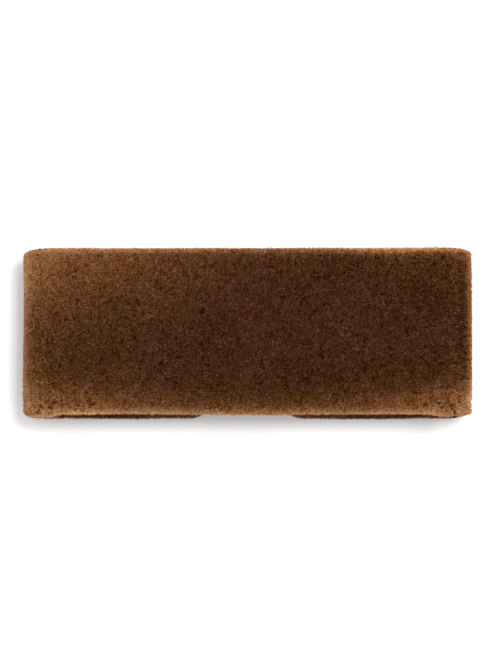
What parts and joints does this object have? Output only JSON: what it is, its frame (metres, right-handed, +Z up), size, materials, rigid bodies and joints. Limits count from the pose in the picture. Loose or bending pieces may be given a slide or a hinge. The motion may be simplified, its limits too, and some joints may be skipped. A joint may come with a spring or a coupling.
{
  "type": "shearling headband",
  "caption": "Wide sheepskin headband, wool outside and suede inside, lying flat as a pressed loop, its two ends joined at the back by a knitted elastic.",
  "frame": {"origin": "middle of the footprint, on the surface that the headband lies on", "axes": "+X along the flattened loop from fold to fold, +Y up the face of the band as it is worn, +Z up from the surface, through the back layer to the front layer's wool"},
  "size_m": [0.26, 0.0988, 0.0319],
  "materials": {
    "wool": "clipped plush wool, dark brown at the roots and lighter brown at the tips",
    "suede": "matt brown suede",
    "elastic": "dark brown ribbed knit"
  },
  "bodies": {
    "root": {"wool_pile": "wool", "sheepskin": "suede", "back_elastic": "elastic"}
  },
  "joints": []
}
